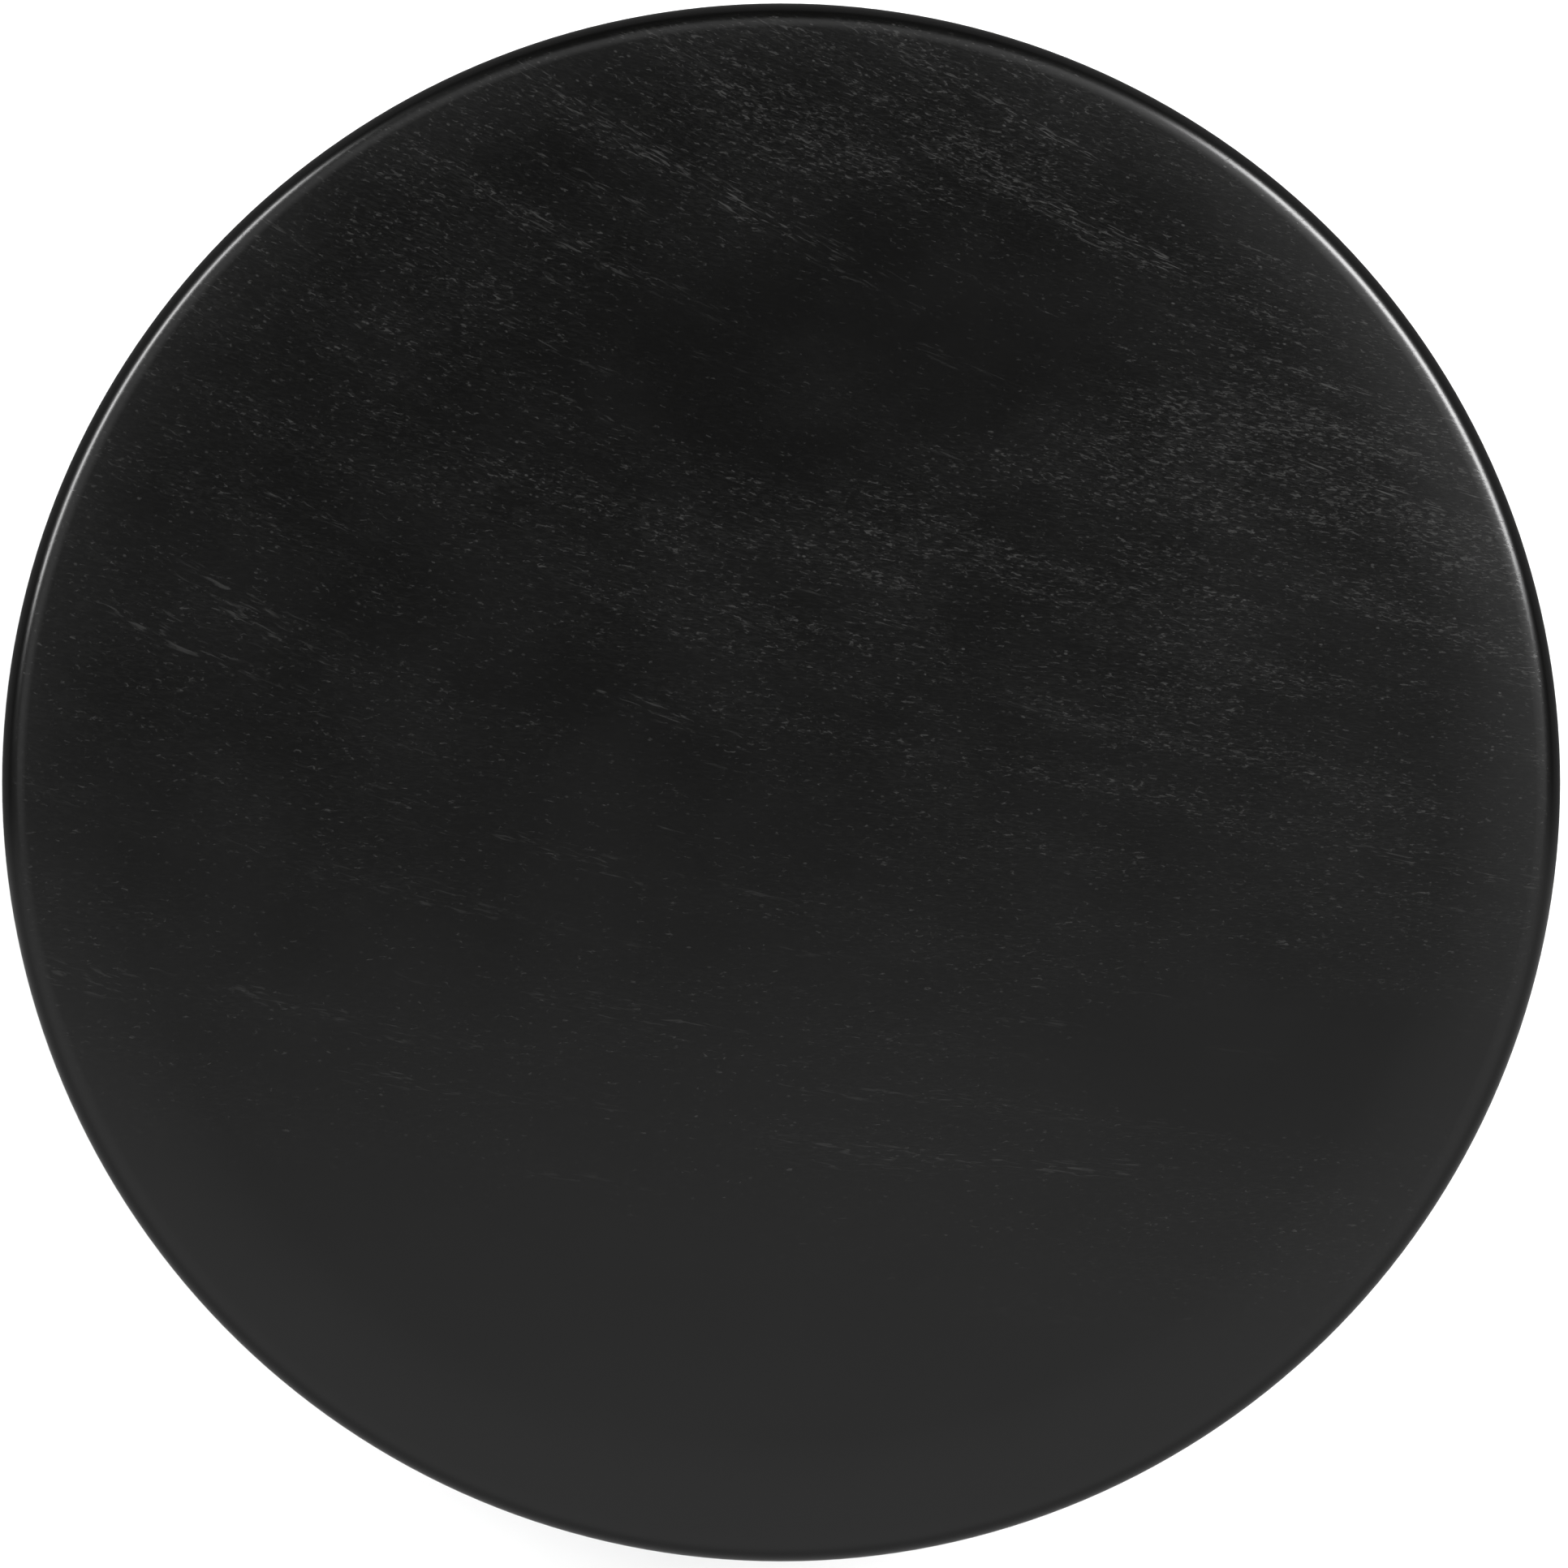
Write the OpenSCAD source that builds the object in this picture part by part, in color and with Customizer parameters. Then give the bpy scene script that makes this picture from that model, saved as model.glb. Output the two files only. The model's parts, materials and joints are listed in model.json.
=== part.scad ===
// Ice hockey puck: one vulcanised rubber moulding with two flat faces and a
// side that is smooth at both shoulders and diamond knurled between them.
// +Z is up, and the origin is the centre of the face that it lies on.

/* [Puck] */
// Diameter over the smooth shoulders
puck_d = 76.2; // [60:0.1:100]
// Thickness between the two flat faces
puck_h = 25.4; // [18:0.1:40]

/* [Shoulders] */
// Radius of the rounding between each face and the side
edge_r = 1.4; // [0.4:0.1:2.5]
// Height of the smooth upright strip between the rounding and the knurl
shoulder_h = 1.6; // [0.6:0.1:3]

/* [Knurl] */
// How far the tops of the diamonds sit inside the shoulders
knurl_recess = 0.15; // [0.05:0.01:0.4]
// Distance round the side from one diamond to the next, rounded to fit the side
diamond_w = 3.8; // [3.2:0.1:6]
// Height of a diamond, rounded to fit the band
diamond_h = 3.9; // [3.2:0.1:6]
// Width of a groove where it meets the tops of the diamonds
groove_w = 1.2; // [0.6:0.05:1.6]
// Depth of a groove below the tops of the diamonds
groove_depth = 0.5; // [0.2:0.05:0.8]

/* [Hidden] */
$fn = 96;

puck_r = puck_d / 2;
cap_h = edge_r + shoulder_h;
band_h = puck_h - 2 * cap_h;
band_r = puck_r - knurl_recess;

// The knurl is a net of diamonds. Its levels are half a diamond apart, and the
// diamonds of neighbouring levels are staggered by half a column.
columns = round(PI * puck_d / diamond_w);
levels = 2 * round(band_h / diamond_h);
level_h = band_h / levels;
half_w = PI * band_r / columns;
// A diamond's flat top is its cell, shrunk by half a groove on every side.
cell_inradius = half_w * level_h / sqrt(half_w * half_w + level_h * level_h);
top_scale = 1 - groove_w / 2 / cell_inradius;

// Corners of a diamond's top, in the order that their points are listed.
WEST = 0;
EAST = 1;
SOUTH = 2;
NORTH = 3;

// A point at a radius, a number of columns round the side, and a height in levels.
function side_point(r, column, level) = [
    r * cos(column * 360 / columns),
    r * sin(column * 360 / columns),
    (level - levels / 2) * level_h
];

// How far a level's diamonds, or the groove crossings between them, are shifted.
function diamond_shift(level) = level % 2 / 2;
function crossing_shift(level) = (1 - level % 2) / 2;

// Point numbers: every groove crossing comes first, then four corners a diamond.
function crossing(level, i) = level * columns + (i + columns) % columns;
function corner(level, i, side) =
    (levels + 1 + 4 * level) * columns + 4 * ((i + columns) % columns) + side;
function west_of(level, i) = crossing(level, level % 2 == 1 ? i : i - 1);
function east_of(level, i) = crossing(level, level % 2 == 1 ? i + 1 : i);
bottom_centre = 5 * (levels + 1) * columns;
top_centre = bottom_centre + 1;

knurl_points = [
    for (level = [0 : levels], i = [0 : columns - 1])
        side_point(band_r - groove_depth, i + crossing_shift(level), level),
    for (level = [0 : levels], i = [0 : columns - 1])
        let (middle = i + diamond_shift(level))
            each [
                side_point(band_r, middle - top_scale / 2, level),
                side_point(band_r, middle + top_scale / 2, level),
                side_point(band_r, middle, level - top_scale),
                side_point(band_r, middle, level + top_scale)
            ],
    [0, 0, -band_h / 2],
    [0, 0, band_h / 2]
];

// A four-cornered flank as two triangles.
function flank(a, b, c, d) = [[a, b, c], [a, c, d]];

// The half of a diamond above its middle: the flat top and two flanks.
function upper_half(level, i) = let (
    west = corner(level, i, WEST),
    east = corner(level, i, EAST),
    north = corner(level, i, NORTH),
    peak = crossing(level + 1, i)
) [
    [west, north, east],
    each flank(west_of(level, i), peak, north, west),
    each flank(peak, east_of(level, i), east, north)
];

// The half of a diamond below its middle.
function lower_half(level, i) = let (
    west = corner(level, i, WEST),
    east = corner(level, i, EAST),
    south = corner(level, i, SOUTH),
    foot = crossing(level - 1, i)
) [
    [west, east, south],
    each flank(east_of(level, i), foot, south, east),
    each flank(foot, west_of(level, i), west, south)
];

// The outline of the band's end at a level, anticlockwise from above.
function rim(level) = [
    for (i = [0 : columns - 1])
        each [corner(level, i, WEST), corner(level, i, EAST), crossing(level, i)]
];
bottom_rim = rim(0);
top_rim = rim(levels);
last_rim_point = len(top_rim) - 1;

knurl_faces = [
    for (level = [0 : levels], i = [0 : columns - 1])
        each concat(
            level < levels ? upper_half(level, i) : [],
            level > 0 ? lower_half(level, i) : []
        ),
    for (i = [0 : last_rim_point])
        let (next = i < last_rim_point ? i + 1 : 0)
            each [
                [bottom_centre, bottom_rim[i], bottom_rim[next]],
                [top_centre, top_rim[next], top_rim[i]]
            ]
];

// The part of the body between the shoulders, centred on the origin.
module knurled_band() {
    polyhedron(knurl_points, knurl_faces, convexity = 4);
}

// A face with its rounded edge and smooth shoulder, from z = 0 up to the face.
module cap() {
    rotate_extrude()
        union() {
            square([puck_r, shoulder_h]);
            square([puck_r - edge_r, cap_h]);
            translate([puck_r - edge_r, shoulder_h])
                intersection() {
                    circle(r = edge_r);
                    square(edge_r);
                }
        }
}

module puck() {
    color([0.05, 0.05, 0.05])
        translate([0, 0, puck_h / 2])
            union() {
                knurled_band();
                translate([0, 0, band_h / 2]) cap();
                mirror([0, 0, 1]) translate([0, 0, band_h / 2]) cap();
            }
}

puck();
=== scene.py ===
"""An ice hockey puck: one moulded rubber disc, lit softly and seen from straight above.

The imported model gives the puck's place and overall size. The disc is modelled
here as one closed piece with rounded edges, smooth shoulders and a diamond
knurl whose crests and grooves are rounded as a mould leaves them.
"""

import json
import logging
import math
from collections.abc import Callable, Iterator
from contextlib import contextmanager
from dataclasses import dataclass
from enum import Enum

import bmesh
import bpy
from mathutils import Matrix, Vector

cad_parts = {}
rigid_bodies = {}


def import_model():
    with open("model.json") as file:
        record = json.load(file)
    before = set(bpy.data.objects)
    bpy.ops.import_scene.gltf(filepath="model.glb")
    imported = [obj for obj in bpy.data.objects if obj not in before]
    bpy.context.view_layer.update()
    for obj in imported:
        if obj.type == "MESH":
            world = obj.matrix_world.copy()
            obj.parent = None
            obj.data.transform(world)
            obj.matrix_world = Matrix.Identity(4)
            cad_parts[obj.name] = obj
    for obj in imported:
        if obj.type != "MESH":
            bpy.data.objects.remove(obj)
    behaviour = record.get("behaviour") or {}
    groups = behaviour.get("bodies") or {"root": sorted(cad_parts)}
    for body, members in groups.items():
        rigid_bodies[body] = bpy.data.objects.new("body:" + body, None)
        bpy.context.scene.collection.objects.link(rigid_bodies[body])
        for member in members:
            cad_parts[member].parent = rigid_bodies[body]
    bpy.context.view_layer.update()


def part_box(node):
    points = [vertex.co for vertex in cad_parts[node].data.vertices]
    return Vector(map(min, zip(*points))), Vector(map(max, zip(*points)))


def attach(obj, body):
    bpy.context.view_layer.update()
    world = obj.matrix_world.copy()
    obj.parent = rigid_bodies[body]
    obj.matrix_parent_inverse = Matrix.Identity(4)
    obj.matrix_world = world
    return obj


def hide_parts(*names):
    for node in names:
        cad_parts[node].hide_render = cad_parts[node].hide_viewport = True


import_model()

MM = 0.001
BODY = "root"
CAD_NODE = "puck"
TOUCHING = 0.001 * MM
NEAR = 0.01 * MM
SMOOTH_BELOW = math.radians(25)

log = logging.getLogger("puck")


class End(Enum):
    """One of the puck's two ends, as the way that its face looks along Z."""

    TOP = 1
    BOTTOM = -1


# ---------------------------------------------------------------- modelling by hand


@contextmanager
def editing(piece: bpy.types.Object) -> Iterator[None]:
    """Opens one piece in edit mode with nothing selected, and closes it again.

    Args:
        piece: The mesh object to edit.
    """
    bpy.ops.object.select_all(action="DESELECT")
    piece.select_set(True)
    bpy.context.view_layer.objects.active = piece
    bpy.ops.object.mode_set(mode="EDIT")
    bpy.ops.mesh.select_all(action="DESELECT")
    yield
    bpy.ops.object.mode_set(mode="OBJECT")


def pick_edges(piece: bpy.types.Object, wanted: Callable[[bmesh.types.BMEdge], bool]) -> None:
    """Selects the edges that pass a test, and nothing else.

    Args:
        piece: The mesh object that is in edit mode.
        wanted: Says of an edge whether it is to be selected.
    """
    bpy.ops.mesh.select_all(action="DESELECT")
    bpy.ops.mesh.select_mode(type="EDGE")
    mesh = bmesh.from_edit_mesh(piece.data)
    for edge in mesh.edges:
        edge.select_set(wanted(edge))
    mesh.select_flush_mode()
    bmesh.update_edit_mesh(piece.data)


def pick_faces(piece: bpy.types.Object, wanted: Callable[[bmesh.types.BMFace], bool]) -> None:
    """Selects the faces that pass a test, and nothing else.

    Args:
        piece: The mesh object that is in edit mode.
        wanted: Says of a face whether it is to be selected.
    """
    bpy.ops.mesh.select_all(action="DESELECT")
    bpy.ops.mesh.select_mode(type="FACE")
    mesh = bmesh.from_edit_mesh(piece.data)
    for face in mesh.faces:
        face.select_set(wanted(face))
    mesh.select_flush_mode()
    bmesh.update_edit_mesh(piece.data)


def radius_of(point: Vector) -> float:
    """Returns how far a point lies from the puck's axis."""
    return math.hypot(point.x, point.y)


def lies_at_height(edge: bmesh.types.BMEdge, height: float) -> bool:
    """Returns whether both ends of an edge lie at a height."""
    return all(abs(vert.co.z - height) < TOUCHING for vert in edge.verts)


# ---------------------------------------------------------------- the puck


@dataclass(frozen=True)
class DiscSizes:
    """The plain disc, in metres: its radius and height come from the frame."""

    radius: float
    height: float
    edge_radius: float = 1.4 * MM
    shoulder_height: float = 1.6 * MM
    edge_steps: int = 12
    crown_width: float = 4.5 * MM
    crown_drop: float = 0.12 * MM
    crown_rings: int = 8

    @property
    def cap_height(self) -> float:
        """How far each smooth end reaches along the axis."""
        return self.edge_radius + self.shoulder_height


@dataclass(frozen=True)
class KnurlSizes:
    """The diamond knurl on the side, in metres.

    The diamonds' crests lie below the shoulders by the recess, and ends_gap is how far
    each shoulder's mouth stays from the groove bottoms.
    """

    columns: int = 63
    rows: int = 5
    recess: float = 0.15 * MM
    groove_width: float = 1.2 * MM
    groove_depth: float = 0.5 * MM
    crest_rounding: float = 0.14 * MM
    root_rounding: float = 0.07 * MM
    mouth_rounding: float = 0.12 * MM
    rounding_steps: int = 2
    ends_gap: float = 0.2 * MM
    round_steps_per_column: int = 4


@dataclass(frozen=True)
class Unevenness:
    """How far from flat the faces are: the dents' width and depth, in metres."""

    width: float = 17 * MM
    depth: float = 0.035 * MM
    octaves: int = 1
    fade_in: float = 4.0


@dataclass(frozen=True)
class Puck:
    """The whole puck, which is a single piece of rubber."""

    disc: DiscSizes
    knurl: KnurlSizes = KnurlSizes()
    unevenness: Unevenness = Unevenness()

    @property
    def root_radius(self) -> float:
        """How far the bottoms of the grooves lie from the axis."""
        return self.disc.radius - self.knurl.recess - self.knurl.groove_depth

    @property
    def round_steps(self) -> int:
        """How many straight steps each smooth end has around it."""
        return self.knurl.columns * self.knurl.round_steps_per_column

    def end_height(self, end: End) -> float:
        """Returns the height of an end's flat face."""
        return self.disc.height if end is End.TOP else 0.0

    def mouth_height(self, end: End) -> float:
        """Returns the height at which an end's smooth shoulder meets the knurl."""
        return self.end_height(end) - end.value * self.disc.cap_height

    def build(self, finish: "RubberFinish") -> bpy.types.Object:
        """Models the puck, dresses it and hands it to the frame.

        Args:
            finish: The rubber that it is made of.

        Returns:
            The finished piece.
        """
        piece = self._join([self._knurled_band(), self._cap(End.TOP), self._cap(End.BOTTOM)])
        self._close(piece)
        self._warp_faces(piece)
        piece.name = piece.data.name = "puck_body"
        piece.data.materials.clear()
        piece.data.materials.append(finish.material())
        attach(piece, BODY)
        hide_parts(CAD_NODE)
        return piece

    def _knurled_band(self) -> bpy.types.Object:
        """Models the band of diamonds between the shoulders, open at both ends.

        Returns:
            A tube whose grooves lie at the root radius.
        """
        knurl = self.knurl
        low, high = self.mouth_height(End.BOTTOM), self.mouth_height(End.TOP)
        row_height = (high - low) / knurl.rows
        bpy.ops.object.select_all(action="DESELECT")
        bpy.ops.mesh.primitive_circle_add(
            vertices=knurl.columns, radius=self.root_radius, location=(0, 0, low)
        )
        band = bpy.context.object
        bpy.ops.object.transform_apply(location=True, rotation=True, scale=True)
        with editing(band):
            bpy.ops.mesh.select_all(action="SELECT")
            for _ in range(knurl.rows):
                bpy.ops.mesh.extrude_region_move(
                    TRANSFORM_OT_translate={"value": (0, 0, row_height)}
                )
            bpy.ops.mesh.select_all(action="SELECT")
            bpy.ops.mesh.normals_make_consistent(inside=False)
            # Each cell gets a middle point, and the net's diagonals become the grooves.
            chord_sag = self.root_radius * (1 - math.cos(math.pi / knurl.columns))
            bpy.ops.mesh.poke(offset=chord_sag)
            pick_edges(band, self._is_cell_side)
            bpy.ops.mesh.dissolve_edges(use_verts=False)
            # Every diamond is drawn in by half a groove and raised to the crest.
            bpy.ops.mesh.select_mode(type="FACE")
            bpy.ops.mesh.select_all(action="SELECT")
            bpy.ops.mesh.inset(
                thickness=knurl.groove_width / 2, depth=knurl.groove_depth, use_individual=True
            )
            bpy.ops.mesh.region_to_loop()
            bpy.ops.mesh.bevel(
                offset=knurl.crest_rounding, segments=knurl.rounding_steps, profile=0.5
            )
            pick_edges(band, self._is_groove_root)
            bpy.ops.mesh.bevel(offset=knurl.root_rounding, segments=1)
            for end in End:
                self._level_mouth(band, end)
        return band

    def _level_mouth(self, band: bpy.types.Object, end: End) -> None:
        """Presses one open end of the band flat at the height of its mouth.

        Args:
            band: The band, in edit mode.
            end: Which of its ends is meant.
        """
        middle = self.disc.height / 2
        pick_edges(
            band,
            lambda edge: edge.is_boundary and (edge.verts[0].co.z - middle) * end.value > 0,
        )
        bpy.ops.transform.resize(
            value=(1, 1, 0), center_override=(0, 0, self.mouth_height(end))
        )

    def _is_cell_side(self, edge: bmesh.types.BMEdge) -> bool:
        """Returns whether an edge is level or upright and has a face on both sides."""
        one, other = (vert.co for vert in edge.verts)
        level = abs(one.z - other.z) < NEAR
        upright = (one.xy - other.xy).length < NEAR
        return not edge.is_boundary and (level or upright)

    def _is_groove_root(self, edge: bmesh.types.BMEdge) -> bool:
        """Returns whether an edge runs along the bottom of a groove."""
        at_root = all(abs(radius_of(vert.co) - self.root_radius) < NEAR for vert in edge.verts)
        return at_root and not edge.is_boundary

    def _cap(self, end: End) -> bpy.types.Object:
        """Models one end: its flat face, rounded edge, shoulder and mouth.

        Args:
            end: Which end of the puck it is.

        Returns:
            A cap that is open where the knurled band joins it.
        """
        disc, knurl = self.disc, self.knurl
        inner = self.mouth_height(end)
        outer = self.end_height(end) - end.value * disc.crown_drop
        bpy.ops.object.select_all(action="DESELECT")
        bpy.ops.mesh.primitive_cylinder_add(
            vertices=self.round_steps,
            radius=disc.radius,
            depth=abs(outer - inner),
            location=(0, 0, (outer + inner) / 2),
        )
        cap = bpy.context.object
        bpy.ops.object.transform_apply(location=True, rotation=True, scale=True)
        with editing(cap):
            pick_faces(cap, lambda face: face.normal.z * end.value < -0.9)
            mouth_width = disc.radius - self.root_radius - knurl.ends_gap
            bpy.ops.mesh.inset(thickness=mouth_width)
            bpy.ops.mesh.delete(type="FACE")
            pick_edges(
                cap,
                lambda edge: lies_at_height(edge, inner)
                and all(radius_of(vert.co) > disc.radius - NEAR for vert in edge.verts),
            )
            bpy.ops.mesh.bevel(
                offset=knurl.mouth_rounding, segments=knurl.rounding_steps, profile=0.5
            )
            pick_edges(cap, lambda edge: lies_at_height(edge, outer))
            bpy.ops.mesh.bevel(offset=disc.edge_radius, segments=disc.edge_steps, profile=0.5)
            pick_faces(cap, lambda face: face.normal.z * end.value > 0.999)
            for rise in self._crown_rises():
                bpy.ops.mesh.inset(thickness=disc.crown_width / disc.crown_rings, depth=rise)
            bpy.ops.mesh.delete(type="ONLY_FACE")
            pick_edges(
                cap, lambda edge: edge.is_boundary and lies_at_height(edge, self.end_height(end))
            )
            bpy.ops.mesh.fill_grid(span=self.round_steps // 4)
        return cap

    def _crown_rises(self) -> Iterator[float]:
        """Yields how far each ring of a face rises on its way in from the rounded edge."""
        disc = self.disc
        for ring in range(disc.crown_rings):
            before, after = 1 - ring / disc.crown_rings, 1 - (ring + 1) / disc.crown_rings
            yield disc.crown_drop * (before**2 - after**2)

    def _join(self, parts: list[bpy.types.Object]) -> bpy.types.Object:
        """Joins loose meshes into the first of them and returns it."""
        bpy.ops.object.select_all(action="DESELECT")
        for part in parts:
            part.select_set(True)
        bpy.context.view_layer.objects.active = parts[0]
        bpy.ops.object.join()
        return parts[0]

    def _close(self, piece: bpy.types.Object) -> None:
        """Bridges the band to both caps, and turns every face outwards.

        Args:
            piece: The joined band and caps.
        """
        with editing(piece):
            for end in End:
                mouth = self.mouth_height(end)
                pick_edges(
                    piece, lambda edge: edge.is_boundary and lies_at_height(edge, mouth)
                )
                bpy.ops.mesh.bridge_edge_loops()
            bpy.ops.mesh.select_all(action="SELECT")
            bpy.ops.mesh.remove_doubles(threshold=TOUCHING)
            bpy.ops.mesh.normals_make_consistent(inside=False)
            bpy.ops.mesh.select_all(action="DESELECT")
            mesh = bmesh.from_edit_mesh(piece.data)
            loose = sum(not edge.is_manifold for edge in mesh.edges)
            log.info("puck_body: %d open or crowded edges", loose)
        bpy.ops.object.shade_smooth_by_angle(angle=SMOOTH_BELOW)

    def _warp_faces(self, piece: bpy.types.Object) -> None:
        """Gives the two flat faces the slight unevenness of moulded rubber.

        Args:
            piece: The closed puck.
        """
        uneven = self.unevenness
        skin = piece.vertex_groups.new(name="faces")
        reach = self.disc.radius - self.disc.edge_radius - self.disc.crown_width
        for vert in piece.data.vertices:
            on_face = min(vert.co.z, self.disc.height - vert.co.z) < TOUCHING
            inward = 1 - radius_of(vert.co) / reach
            if on_face and inward > 0:
                skin.add([vert.index], min(1.0, uneven.fade_in * inward), "REPLACE")
        clouds = bpy.data.textures.new("face_unevenness", "CLOUDS")
        clouds.noise_scale = uneven.width
        clouds.noise_depth = uneven.octaves
        warp = piece.modifiers.new("face_unevenness", "DISPLACE")
        warp.texture = clouds
        warp.direction = "NORMAL"
        warp.strength = uneven.depth
        warp.mid_level = 1.0
        warp.vertex_group = skin.name
        bpy.context.view_layer.objects.active = piece
        bpy.ops.object.modifier_apply(modifier=warp.name)
        piece.vertex_groups.clear()


# ---------------------------------------------------------------- finishes


class Canvas:
    """Adds and wires the nodes of one node tree."""

    def __init__(self, tree: bpy.types.NodeTree) -> None:
        """Starts on a tree.

        Args:
            tree: The tree that the nodes go into.
        """
        self.tree = tree

    def add(self, kind: str, **settings: object) -> bpy.types.Node:
        """Adds a node and sets its own options.

        Args:
            kind: The node's type name.
            **settings: The options to set on it.

        Returns:
            The new node.
        """
        node = self.tree.nodes.new(kind)
        for name, value in settings.items():
            setattr(node, name, value)
        return node

    def feed(self, node: bpy.types.Node, **values: object) -> bpy.types.Node:
        """Sets or wires a node's inputs by name, with _ for a space.

        Args:
            node: The node to feed.
            **values: A value, or the socket to wire from, for each input.

        Returns:
            The same node.
        """
        for name, value in values.items():
            self.plug(node.inputs[name.replace("_", " ")], value)
        return node

    def plug(self, socket: bpy.types.NodeSocket, value: object) -> None:
        """Wires one input from a socket, or sets it to a plain value."""
        if isinstance(value, bpy.types.NodeSocket):
            self.tree.links.new(value, socket)
        else:
            socket.default_value = value

    def math(self, operation: str, *values: object) -> bpy.types.NodeSocket:
        """Adds a Math node and returns its result.

        Args:
            operation: The node's operation.
            *values: Its inputs, each a number or a socket.

        Returns:
            The result's socket.
        """
        node = self.add("ShaderNodeMath", operation=operation)
        for socket, value in zip(node.inputs, values):
            self.plug(socket, value)
        return node.outputs[0]

    def product(
        self, first: bpy.types.NodeSocket, *others: bpy.types.NodeSocket
    ) -> bpy.types.NodeSocket:
        """Multiplies values together and returns the result's socket."""
        for other in others:
            first = self.math("MULTIPLY", first, other)
        return first

    def distance(
        self, across: bpy.types.NodeSocket, along: bpy.types.NodeSocket
    ) -> bpy.types.NodeSocket:
        """Returns how far a point is from the origin, from its two coordinates."""
        squares = (self.math("MULTIPLY", side, side) for side in (across, along))
        return self.math("SQRT", self.math("ADD", *squares))

    def chosen(
        self, share: bpy.types.NodeSocket, usual: bpy.types.NodeSocket, other: float
    ) -> bpy.types.NodeSocket:
        """Returns the usual value where share is 0 and the other one where it is 1."""
        node = self.add("ShaderNodeMix", data_type="FLOAT")
        for socket, value in zip(node.inputs, (share, None, usual, other)):
            if value is not None:
                self.plug(socket, value)
        return node.outputs[0]

    def ramp(
        self,
        value: bpy.types.NodeSocket,
        start: float,
        end: float,
        low: float = 0.0,
        high: float = 1.0,
    ) -> bpy.types.NodeSocket:
        """Turns one range of a value smoothly into another.

        Args:
            value: What is read.
            start: The value that gives low.
            end: The value that gives high.
            low: The result up to start.
            high: The result from end on.

        Returns:
            The result's socket.
        """
        node = self.add("ShaderNodeMapRange", interpolation_type="SMOOTHSTEP")
        self.feed(node, Value=value, From_Min=start, From_Max=end, To_Min=low, To_Max=high)
        return node.outputs["Result"]

    def stretched(
        self, vector: bpy.types.NodeSocket, scale: tuple[object, object, object]
    ) -> bpy.types.NodeSocket:
        """Multiplies a vector by one number for each axis."""
        combined = self.add("ShaderNodeCombineXYZ")
        for socket, value in zip(combined.inputs, scale):
            self.plug(socket, value)
        node = self.add("ShaderNodeVectorMath", operation="MULTIPLY")
        self.plug(node.inputs[0], vector)
        self.plug(node.inputs[1], combined.outputs[0])
        return node.outputs[0]

    def noise(
        self, vector: bpy.types.NodeSocket, detail: float = 2.0, distortion: float = 0.0
    ) -> bpy.types.NodeSocket:
        """Adds soft noise about one unit across, and returns its value."""
        node = self.add("ShaderNodeTexNoise", noise_dimensions="3D")
        self.feed(node, Vector=vector, Scale=1.0, Detail=detail, Distortion=distortion)
        return node.outputs["Fac"]


@dataclass(frozen=True)
class Fade:
    """A smooth change from low to high while what it reads goes from start to end."""

    start: float
    end: float
    low: float = 0.0
    high: float = 1.0

    def of(self, canvas: Canvas, value: bpy.types.NodeSocket) -> bpy.types.NodeSocket:
        """Adds the fade of a value to a tree and returns the result's socket."""
        return canvas.ramp(value, self.start, self.end, self.low, self.high)


def new_group(name: str, inputs: dict[str, object], outputs: dict[str, str]) -> bpy.types.NodeTree:
    """Makes an empty shader node group with its sockets.

    Args:
        name: The group's name.
        inputs: For each input, its default number, or None for a vector.
        outputs: For each output, its socket type.

    Returns:
        The group's tree, with its two end nodes in it.
    """
    tree = bpy.data.node_groups.new(name, "ShaderNodeTree")
    for label, default in inputs.items():
        kind = "NodeSocketVector" if default is None else "NodeSocketFloat"
        socket = tree.interface.new_socket(label, in_out="INPUT", socket_type=kind)
        if default is not None:
            socket.default_value = default
    for label, kind in outputs.items():
        tree.interface.new_socket(label, in_out="OUTPUT", socket_type=kind)
    tree.nodes.new("NodeGroupInput")
    tree.nodes.new("NodeGroupOutput")
    return tree


@dataclass(frozen=True)
class Flow:
    """A direction in the faces: across the puck, falling and fanning out to one side."""

    slope: float
    fan_per_mm: float

    def group(self) -> bpy.types.NodeTree:
        """Makes the node group that turns a place in mm into one along the flow."""
        tree = new_group("flow", {"Place": None}, {"Flow": "NodeSocketVector"})
        canvas = Canvas(tree)
        split = canvas.add("ShaderNodeSeparateXYZ")
        canvas.plug(split.inputs[0], tree.nodes["Group Input"].outputs["Place"])
        x, y, z = split.outputs
        along = canvas.math("MULTIPLY_ADD", y, -self.slope, x)
        fan = canvas.math("MULTIPLY", canvas.math("MULTIPLY", x, y), self.fan_per_mm)
        across = canvas.math("ADD", canvas.math("MULTIPLY_ADD", x, self.slope, y), fan)
        joined = canvas.add("ShaderNodeCombineXYZ")
        for socket, value in zip(joined.inputs, (along, across, z)):
            canvas.plug(socket, value)
        canvas.plug(tree.nodes["Group Output"].inputs["Flow"], joined.outputs[0])
        return tree

    def followed(self, canvas: Canvas, place: bpy.types.NodeSocket) -> bpy.types.NodeSocket:
        """Adds the flow's group to a material and returns the place along the flow."""
        node = canvas.add("ShaderNodeGroup", node_tree=self.group())
        return canvas.feed(node, Place=place).outputs["Flow"]


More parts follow.
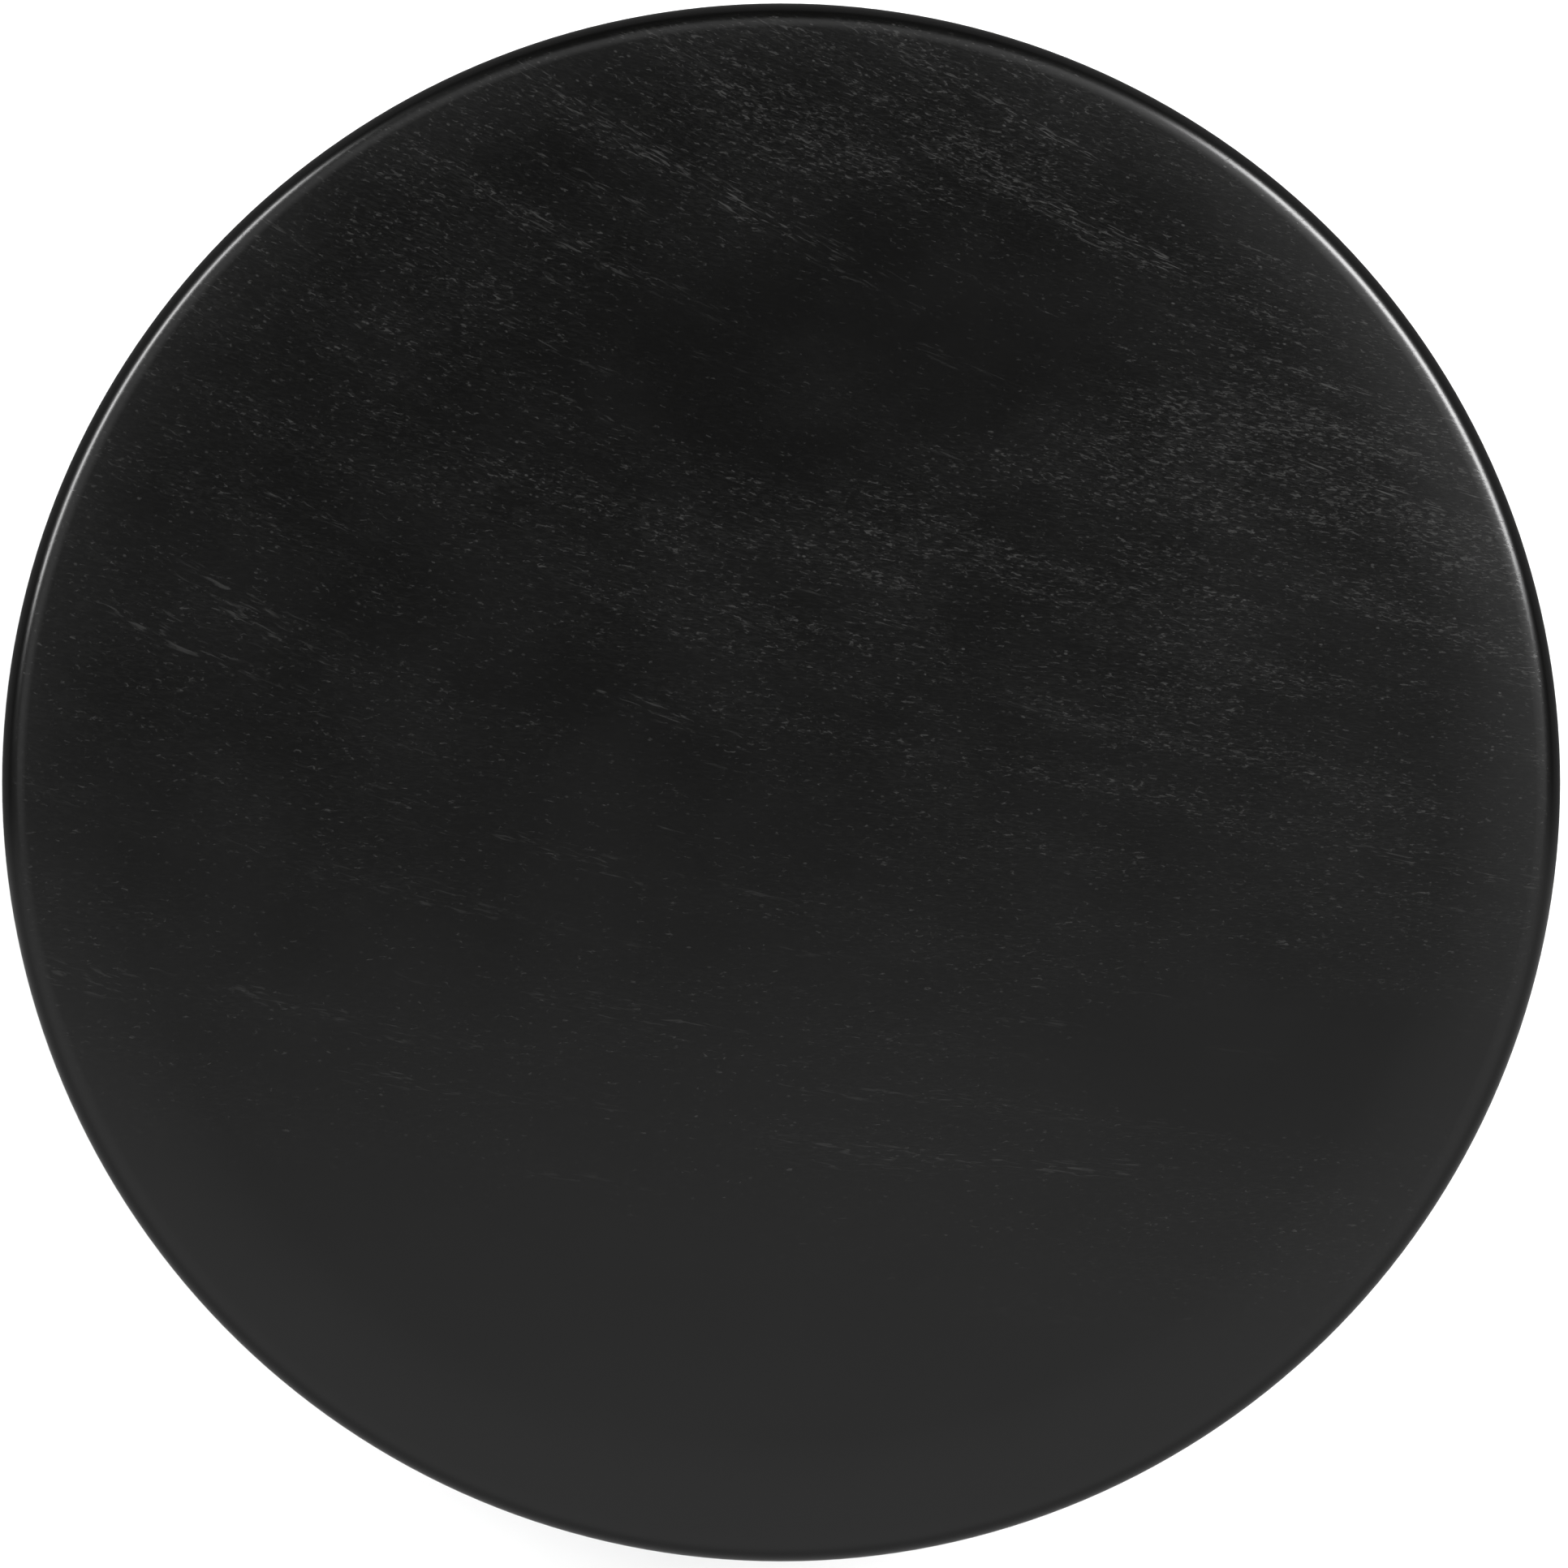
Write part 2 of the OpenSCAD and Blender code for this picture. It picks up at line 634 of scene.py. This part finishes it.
def fibres_group() -> bpy.types.NodeTree:
    """Makes the node group that draws fine broken fibres along the flow."""
    tree = new_group(
        "fibres",
        {"Flow": None, "Length": 1.0, "Width": 0.3, "Cut": 0.5},
        {"Mask": "NodeSocketFloat"},
    )
    canvas = Canvas(tree)
    given = tree.nodes["Group Input"].outputs
    per_length = canvas.math("DIVIDE", 1.0, given["Length"])
    per_width = canvas.math("DIVIDE", 1.0, given["Width"])
    place = canvas.stretched(given["Flow"], (per_length, per_width, per_width))
    weave = canvas.noise(place, detail=2.0, distortion=0.7)
    above = canvas.math("SUBTRACT", weave, given["Cut"])
    soft_edges = Fade(0.0, 0.2)
    canvas.plug(tree.nodes["Group Output"].inputs["Mask"], soft_edges.of(canvas, above))
    return tree


def specks_group() -> bpy.types.NodeTree:
    """Makes the node group that scatters small separate specks."""
    tree = new_group(
        "specks", {"Flow": None, "Size": 0.3, "Share": 0.5}, {"Mask": "NodeSocketFloat"}
    )
    canvas = Canvas(tree)
    given = tree.nodes["Group Input"].outputs
    width_to_length = 0.6
    per_size = canvas.math("DIVIDE", 1.0, given["Size"])
    per_length = canvas.math("MULTIPLY", per_size, width_to_length)
    place = canvas.stretched(given["Flow"], (per_length, per_size, per_size))
    cells = canvas.add("ShaderNodeTexVoronoi", voronoi_dimensions="3D", feature="F1")
    canvas.feed(cells, Vector=place, Scale=1.0, Randomness=1.0)
    shape = Fade(0.40, 0.10).of(canvas, cells.outputs["Distance"])
    chance = canvas.add("ShaderNodeSeparateColor")
    canvas.plug(chance.inputs[0], cells.outputs["Color"])
    kept = canvas.math("LESS_THAN", chance.outputs[0], given["Share"])
    mask = canvas.product(shape, kept, chance.outputs[1])
    canvas.plug(tree.nodes["Group Output"].inputs["Mask"], mask)
    return tree


@dataclass(frozen=True)
class StretchedNoise:
    """Soft noise that is drawn out along a flow; its sizes are in mm."""

    along: float
    across: float
    deep: float
    detail: float = 2.0
    distortion: float = 0.0

    def value(self, canvas: Canvas, flow: bpy.types.NodeSocket) -> bpy.types.NodeSocket:
        """Adds the noise to a tree and returns its value."""
        scale = (1 / self.along, 1 / self.across, 1 / self.deep)
        return canvas.noise(canvas.stretched(flow, scale), self.detail, self.distortion)


@dataclass(frozen=True)
class Fibres:
    """One kind of fine broken fibres, in mm.

    They show where their noise rises above the cut, which dense places may lower.
    """

    length: float
    width: float
    cut: float
    cut_where_dense: float | None = None

    def mask(
        self,
        canvas: Canvas,
        weave: bpy.types.NodeTree,
        flow: bpy.types.NodeSocket,
        dense: bpy.types.NodeSocket,
    ) -> bpy.types.NodeSocket:
        """Adds the fibres to a material.

        Args:
            canvas: The material's canvas.
            weave: The node group that draws fibres.
            flow: The place along their flow, in mm.
            dense: How dense the marks are at each place, from 0 to 1.

        Returns:
            The fibres' mask, from 0 to 1.
        """
        cut = self.cut
        if self.cut_where_dense is not None:
            cut = canvas.math("MULTIPLY_ADD", dense, self.cut_where_dense - self.cut, self.cut)
        fibres = canvas.add("ShaderNodeGroup", node_tree=weave)
        canvas.feed(fibres, Flow=flow, Length=self.length, Width=self.width, Cut=cut)
        return fibres.outputs["Mask"]


@dataclass(frozen=True)
class Calm:
    """A patch of the faces that stays nearly free of marks, in mm."""

    x: float
    y: float
    half_length: float
    half_width: float
    fade: Fade = Fade(0.5, 1.3, low=0.25)

    def left_over(
        self, canvas: Canvas, x: bpy.types.NodeSocket, y: bpy.types.NodeSocket
    ) -> bpy.types.NodeSocket:
        """Returns what stays of the marks: little inside the patch, all outside it."""
        across = canvas.math("DIVIDE", canvas.math("SUBTRACT", x, self.x), self.half_length)
        along = canvas.math("DIVIDE", canvas.math("SUBTRACT", y, self.y), self.half_width)
        return self.fade.of(canvas, canvas.distance(across, along))


@dataclass(frozen=True)
class Spread:
    """Where the marks lie: on the faces only, and mostly up to the right.

    The fades over a face read shares of its radius; skin reads the depth in mm.
    """

    slant: float = 0.16
    begun: Fade = Fade(-0.75, -0.45)
    upper: Fade = Fade(-0.13, 0.34, low=0.42)
    rightward: Fade = Fade(-0.33, 0.28, low=0.73)
    skin: Fade = Fade(0.4, 0.15)
    calms: tuple[Calm, ...] = (
        Calm(x=2.5, y=20.5, half_length=15.0, half_width=6.5),
        Calm(x=24.5, y=-13.5, half_length=15.0, half_width=4.0),
    )

    def amount(
        self,
        canvas: Canvas,
        disc: DiscSizes,
        x: bpy.types.NodeSocket,
        y: bpy.types.NodeSocket,
        from_middle: bpy.types.NodeSocket,
    ) -> bpy.types.NodeSocket:
        """Says how many marks there are.

        Args:
            canvas: The material's canvas.
            disc: The disc's sizes.
            x: The place along X, in mm.
            y: The place along Y, in mm.
            from_middle: The distance from the middle height, in mm.

        Returns:
            The amount, from 0 to 1.
        """
        across = canvas.math("DIVIDE", x, disc.radius / MM)
        up = canvas.math("DIVIDE", y, disc.radius / MM)
        slanted = canvas.math("MULTIPLY_ADD", across, self.slant, up)
        depth = canvas.math("SUBTRACT", disc.height / MM / 2, from_middle)
        return canvas.product(
            self.begun.of(canvas, slanted),
            self.upper.of(canvas, slanted),
            self.rightward.of(canvas, across),
            self.skin.of(canvas, depth),
            *(calm.left_over(canvas, x, y) for calm in self.calms),
        )


@dataclass(frozen=True)
class Marks:
    """The fine fibrous marks: short fibres in clusters, long streaks, haze and specks."""

    fibre_flow: Flow = Flow(slope=0.13, fan_per_mm=0.006)
    cluster_flow: Flow = Flow(slope=0.28, fan_per_mm=0.0084)
    bands: StretchedNoise = StretchedNoise(13, 1.8, 9, detail=5.0, distortion=0.4)
    patches: StretchedNoise = StretchedNoise(24, 11, 9)
    band_weight: float = 1.3
    clustering: Fade = Fade(0.88, 1.48, low=0.32, high=0.95)
    streaks: StretchedNoise = StretchedNoise(18, 1.5, 7)
    streak_edges: Fade = Fade(0.57, 0.70)
    short: Fibres = Fibres(length=0.36, width=0.12, cut=0.66, cut_where_dense=0.49)
    short_strength: Fade = Fade(0.0, 0.35, high=0.62)
    faint: Fibres = Fibres(length=0.46, width=0.10, cut=0.43)
    faint_strength: float = 0.17
    haze: float = 0.005
    long: Fibres = Fibres(length=1.1, width=0.14, cut=0.54)
    speck_size: float = 0.20
    speck_share: float = 0.05

    def mask(
        self, canvas: Canvas, place: bpy.types.NodeSocket, where: bpy.types.NodeSocket
    ) -> bpy.types.NodeSocket:
        """Adds all the marks to a material.

        Args:
            canvas: The material's canvas.
            place: The place on the puck, in mm.
            where: How many marks there are at each place, from 0 to 1.

        Returns:
            The marks' mask, from 0 to 1.
        """
        run = self.fibre_flow.followed(canvas, place)
        drift = self.cluster_flow.followed(canvas, place)
        gathered = canvas.math(
            "MULTIPLY_ADD",
            self.bands.value(canvas, drift),
            self.band_weight,
            self.patches.value(canvas, drift),
        )
        dense = canvas.product(self.clustering.of(canvas, gathered), where)
        weave = fibres_group()
        short = canvas.product(
            self.short.mask(canvas, weave, run, dense), self.short_strength.of(canvas, where)
        )
        faint = self.faint.mask(canvas, weave, run, dense)
        haze = canvas.math("MULTIPLY_ADD", faint, self.faint_strength, self.haze)
        marks = canvas.math("ADD", short, canvas.product(haze, dense))
        streaks = self.streak_edges.of(canvas, self.streaks.value(canvas, drift))
        long = canvas.product(self.long.mask(canvas, weave, drift, dense), streaks, where)
        specks = canvas.add("ShaderNodeGroup", node_tree=specks_group())
        canvas.feed(specks, Flow=run, Size=self.speck_size, Share=self.speck_share)
        marks = canvas.math("MAXIMUM", marks, long)
        return canvas.math("MAXIMUM", marks, canvas.product(specks.outputs["Mask"], where))


@dataclass(frozen=True)
class RubberFinish:
    """Satin black rubber with fine fibrous marks in its faces and duller grooves."""

    disc: DiscSizes
    knurl: KnurlSizes
    marks: Marks = Marks()
    spread: Spread = Spread()
    rubber_colour: tuple[float, float, float] = (0.0016, 0.0016, 0.0015)
    mark_colour: tuple[float, float, float] = (0.0265, 0.0265, 0.0255)
    groove_colour: tuple[float, float, float] = (0.006, 0.006, 0.006)
    mottled_roughness: Fade = Fade(0.3, 0.7, low=0.203, high=0.233)
    mark_roughness: float = 0.12
    groove_roughness: float = 0.25
    mottle_per_mm: float = 0.16
    grain_per_mm: float = 4.5
    grain_height: float = 0.15
    relief: float = 0.005 * MM
    relief_strength: float = 0.6
    groove_begins: float = 0.15
    groove_ends: float = 0.85
    band_edge: float = 0.1

    def material(self) -> bpy.types.Material:
        """Makes the material.

        Returns:
            A procedural material that reads object coordinates.
        """
        material = bpy.data.materials.new("satin_rubber")
        material.use_nodes = True
        tree = material.node_tree
        canvas = Canvas(tree)
        shader = tree.nodes["Principled BSDF"]
        coordinates = canvas.add("ShaderNodeTexCoord")
        place = canvas.stretched(coordinates.outputs["Object"], (1 / MM,) * 3)
        split = canvas.add("ShaderNodeSeparateXYZ")
        canvas.plug(split.inputs[0], place)
        x, y, z = split.outputs
        half_height = self.disc.height / MM / 2
        from_middle = canvas.math("ABSOLUTE", canvas.math("SUBTRACT", z, half_height))
        where = self.spread.amount(canvas, self.disc, x, y, from_middle)
        marks = self.marks.mask(canvas, place, where)
        grooves = self._grooves(canvas, x, y, from_middle)
        mottle = canvas.noise(canvas.stretched(place, (self.mottle_per_mm,) * 3), detail=3.0)
        grain = canvas.noise(canvas.stretched(place, (self.grain_per_mm,) * 3), detail=1.0)
        rubber = self._mixed(canvas, grooves, self.rubber_colour, self.groove_colour)
        colour = self._mixed(canvas, marks, rubber, self.mark_colour)
        canvas.plug(shader.inputs["Base Color"], colour)
        rough = self.mottled_roughness.of(canvas, mottle)
        rough = canvas.math("MULTIPLY_ADD", marks, self.mark_roughness, rough)
        rough = canvas.math("MULTIPLY_ADD", grooves, self.groove_roughness, rough)
        canvas.plug(shader.inputs["Roughness"], rough)
        height = canvas.math("MULTIPLY_ADD", grain, self.grain_height, marks)
        bump = canvas.add("ShaderNodeBump")
        canvas.feed(bump, Strength=self.relief_strength, Distance=self.relief, Height=height)
        canvas.plug(shader.inputs["Normal"], bump.outputs["Normal"])
        return material

    def _mixed(
        self, canvas: Canvas, share: bpy.types.NodeSocket, one: object, other: object
    ) -> bpy.types.NodeSocket:
        """Mixes two colours, each a plain one or a socket, and returns the result."""
        node = canvas.add("ShaderNodeMix", data_type="RGBA")
        canvas.plug(node.inputs[0], share)
        for socket, colour in zip((node.inputs[6], node.inputs[7]), (one, other)):
            canvas.plug(socket, (*colour, 1.0) if isinstance(colour, tuple) else colour)
        return node.outputs[2]

    def _grooves(
        self,
        canvas: Canvas,
        x: bpy.types.NodeSocket,
        y: bpy.types.NodeSocket,
        from_middle: bpy.types.NodeSocket,
    ) -> bpy.types.NodeSocket:
        """Returns 1 at the bottom of the side's grooves and 0 on crests and faces."""
        knurl = self.knurl
        crest = (self.disc.radius - knurl.recess) / MM
        depth = knurl.groove_depth / MM
        from_axis = canvas.distance(x, y)
        band = (self.disc.height / 2 - self.disc.cap_height) / MM
        begins, ends = crest - self.groove_begins * depth, crest - self.groove_ends * depth
        return canvas.product(
            canvas.ramp(from_axis, begins, ends),
            canvas.ramp(from_middle, band + self.band_edge, band),
        )


# ---------------------------------------------------------------- studio


@dataclass(frozen=True)
class Softbox:
    """A rectangular lamp aimed at the puck, in metres, degrees and watts."""

    name: str
    bearing: float
    elevation: float
    width: float
    height: float
    power: float
    distance: float = 0.8

    def build(self, target: Vector) -> bpy.types.Object:
        """Adds the lamp.

        Args:
            target: The point that it is aimed at.

        Returns:
            The lamp's object.
        """
        turn, rise = math.radians(self.bearing), math.radians(self.elevation)
        away = Vector(
            (math.cos(turn) * math.cos(rise), math.sin(turn) * math.cos(rise), math.sin(rise))
        )
        bpy.ops.object.select_all(action="DESELECT")
        bpy.ops.object.light_add(type="AREA", location=target + away * self.distance)
        lamp = bpy.context.object
        lamp.name = self.name
        lamp.rotation_euler = away.to_track_quat("Z", "Y").to_euler()
        lamp.data.shape = "RECTANGLE"
        lamp.data.size = self.width
        lamp.data.size_y = self.height
        lamp.data.energy = self.power
        lamp.visible_camera = False
        return lamp


class Axis(Enum):
    """One axis, as the place of its value among the three of a direction."""

    X = 0
    Y = 1
    Z = 2


@dataclass(frozen=True)
class Glow:
    """A soft glow on the walls, full where all its fades along the axes are complete."""

    strength: float
    fades: tuple[tuple[Axis, Fade], ...]

    def level(
        self, canvas: Canvas, direction: tuple[bpy.types.NodeSocket, ...]
    ) -> bpy.types.NodeSocket:
        """Returns the glow's brightness in each direction."""
        parts = [fade.of(canvas, direction[axis.value]) for axis, fade in self.fades]
        return canvas.math("MULTIPLY", canvas.product(*parts), self.strength)


@dataclass(frozen=True)
class Surroundings:
    """The soft light of the room.

    The puck mirrors dark walls with a few soft glows in them, while the light that
    falls on the floor is even and white, and the camera sees a backdrop to match.
    """

    walls: Fade = Fade(0.1, -0.1, low=0.01, high=0.15)
    front: Glow = Glow(0.68, ((Axis.Y, Fade(0.0, -0.12)), (Axis.Z, Fade(0.0, 0.7, low=0.55))))
    ring: Glow = Glow(
        0.8,
        (
            (Axis.Z, Fade(0.985, 0.88)),
            (Axis.Z, Fade(0.60, 0.72)),
            (Axis.Y, Fade(-0.10, 0.05)),
        ),
    )
    right: Glow = Glow(
        1.6,
        (
            (Axis.X, Fade(0.11, 0.34)),
            (Axis.Z, Fade(0.5, 0.7)),
            (Axis.Y, Fade(-0.10, 0.26, low=0.3)),
        ),
    )
    left: Glow = Glow(
        0.50,
        (
            (Axis.X, Fade(-0.12, -0.34)),
            (Axis.Z, Fade(0.5, 0.7)),
            (Axis.Y, Fade(-0.10, 0.26, low=0.3)),
        ),
    )
    fill: float = 1.35
    backdrop: float = 1.0

    def build(self) -> bpy.types.World:
        """Makes the world.

        Returns:
            The world, already set on the scene.
        """
        world = bpy.data.worlds.new("surroundings")
        bpy.context.scene.world = world
        world.use_nodes = True
        tree = world.node_tree
        canvas = Canvas(tree)
        coordinates = canvas.add("ShaderNodeTexCoord")
        split = canvas.add("ShaderNodeSeparateXYZ")
        canvas.plug(split.inputs[0], coordinates.outputs["Generated"])
        direction = tuple(split.outputs)
        level = self.walls.of(canvas, direction[Axis.Z.value])
        for glow in (self.front, self.ring, self.right, self.left):
            level = canvas.math("MAXIMUM", glow.level(canvas, direction), level)
        rays = canvas.add("ShaderNodeLightPath").outputs
        level = canvas.chosen(rays["Is Diffuse Ray"], level, self.fill)
        level = canvas.chosen(rays["Is Camera Ray"], level, self.backdrop)
        background = tree.nodes["Background"]
        canvas.feed(background, Strength=level, Color=(1.0, 1.0, 1.0, 1.0))
        return world


@dataclass(frozen=True)
class Studio:
    """The floor, the lamps, the room and the camera."""

    disc: DiscSizes
    softboxes: tuple[Softbox, ...] = (
        Softbox("softbox_right", bearing=36, elevation=31, width=0.48, height=0.20, power=6.8),
        Softbox("softbox_left", bearing=147, elevation=24, width=0.50, height=0.11, power=3.6),
    )
    surroundings: Surroundings = Surroundings()
    floor_size: float = 8.0
    floor_gap: float = 0.02 * MM
    floor_colour: tuple[float, float, float] = (0.9, 0.9, 0.9)
    floor_roughness: float = 0.9
    lens: float = 100.0
    sensor: float = 36.0
    fill: float = 0.9938
    aim_x: float = 0.14 * MM
    aim_y: float = -0.08 * MM
    nearest_seen: float = 10 * MM

    def build(self) -> None:
        """Builds everything around the puck."""
        self._floor()
        target = Vector((0, 0, self.disc.height))
        for softbox in self.softboxes:
            softbox.build(target)
        self.surroundings.build()
        self._camera()
        bpy.context.scene.view_settings.view_transform = "Standard"

    def _floor(self) -> None:
        """Lays the plain pale floor, which the rubber doesn't mirror.

        It shows from above only, so the puck can also be looked at from below.
        """
        bpy.ops.object.select_all(action="DESELECT")
        bpy.ops.mesh.primitive_plane_add(size=self.floor_size, location=(0, 0, -self.floor_gap))
        floor = bpy.context.object
        floor.name = "floor"
        material = bpy.data.materials.new("pale_floor")
        material.use_nodes = True
        tree = material.node_tree
        canvas = Canvas(tree)
        shader = tree.nodes["Principled BSDF"]
        shader.inputs["Base Color"].default_value = (*self.floor_colour, 1.0)
        shader.inputs["Roughness"].default_value = self.floor_roughness
        one_sided = canvas.add("ShaderNodeMixShader")
        seen_from = canvas.add("ShaderNodeNewGeometry").outputs["Backfacing"]
        clear = canvas.add("ShaderNodeBsdfTransparent").outputs[0]
        for socket, value in zip(one_sided.inputs, (seen_from, shader.outputs[0], clear)):
            canvas.plug(socket, value)
        canvas.plug(tree.nodes["Material Output"].inputs["Surface"], one_sided.outputs[0])
        floor.data.materials.append(material)
        floor.visible_glossy = False

    def _camera(self) -> None:
        """Sets the camera straight above, so that the puck nearly fills the view."""
        silhouette_height = self.disc.height - self.disc.edge_radius
        half_view = self.disc.radius / self.fill
        distance = half_view * self.lens / (self.sensor / 2)
        bpy.ops.object.select_all(action="DESELECT")
        bpy.ops.object.camera_add(
            location=(self.aim_x, self.aim_y, silhouette_height + distance), rotation=(0, 0, 0)
        )
        camera = bpy.context.object
        camera.name = "camera"
        camera.data.lens = self.lens
        camera.data.sensor_width = self.sensor
        camera.data.clip_start = self.nearest_seen
        bpy.context.scene.camera = camera


def main() -> None:
    """Builds the puck and the studio around it."""
    logging.basicConfig(level=logging.INFO, format="%(name)s: %(message)s")
    low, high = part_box(CAD_NODE)
    disc = DiscSizes(radius=(high.x - low.x) / 2, height=high.z - low.z)
    knurl = KnurlSizes()
    finish = RubberFinish(disc, knurl)
    Studio(disc).build()
    piece = Puck(disc, knurl).build(finish)
    log.info("%s: %d faces, rides on %s", piece.name, len(piece.data.polygons), BODY)


if __name__ == "__main__":
    main()
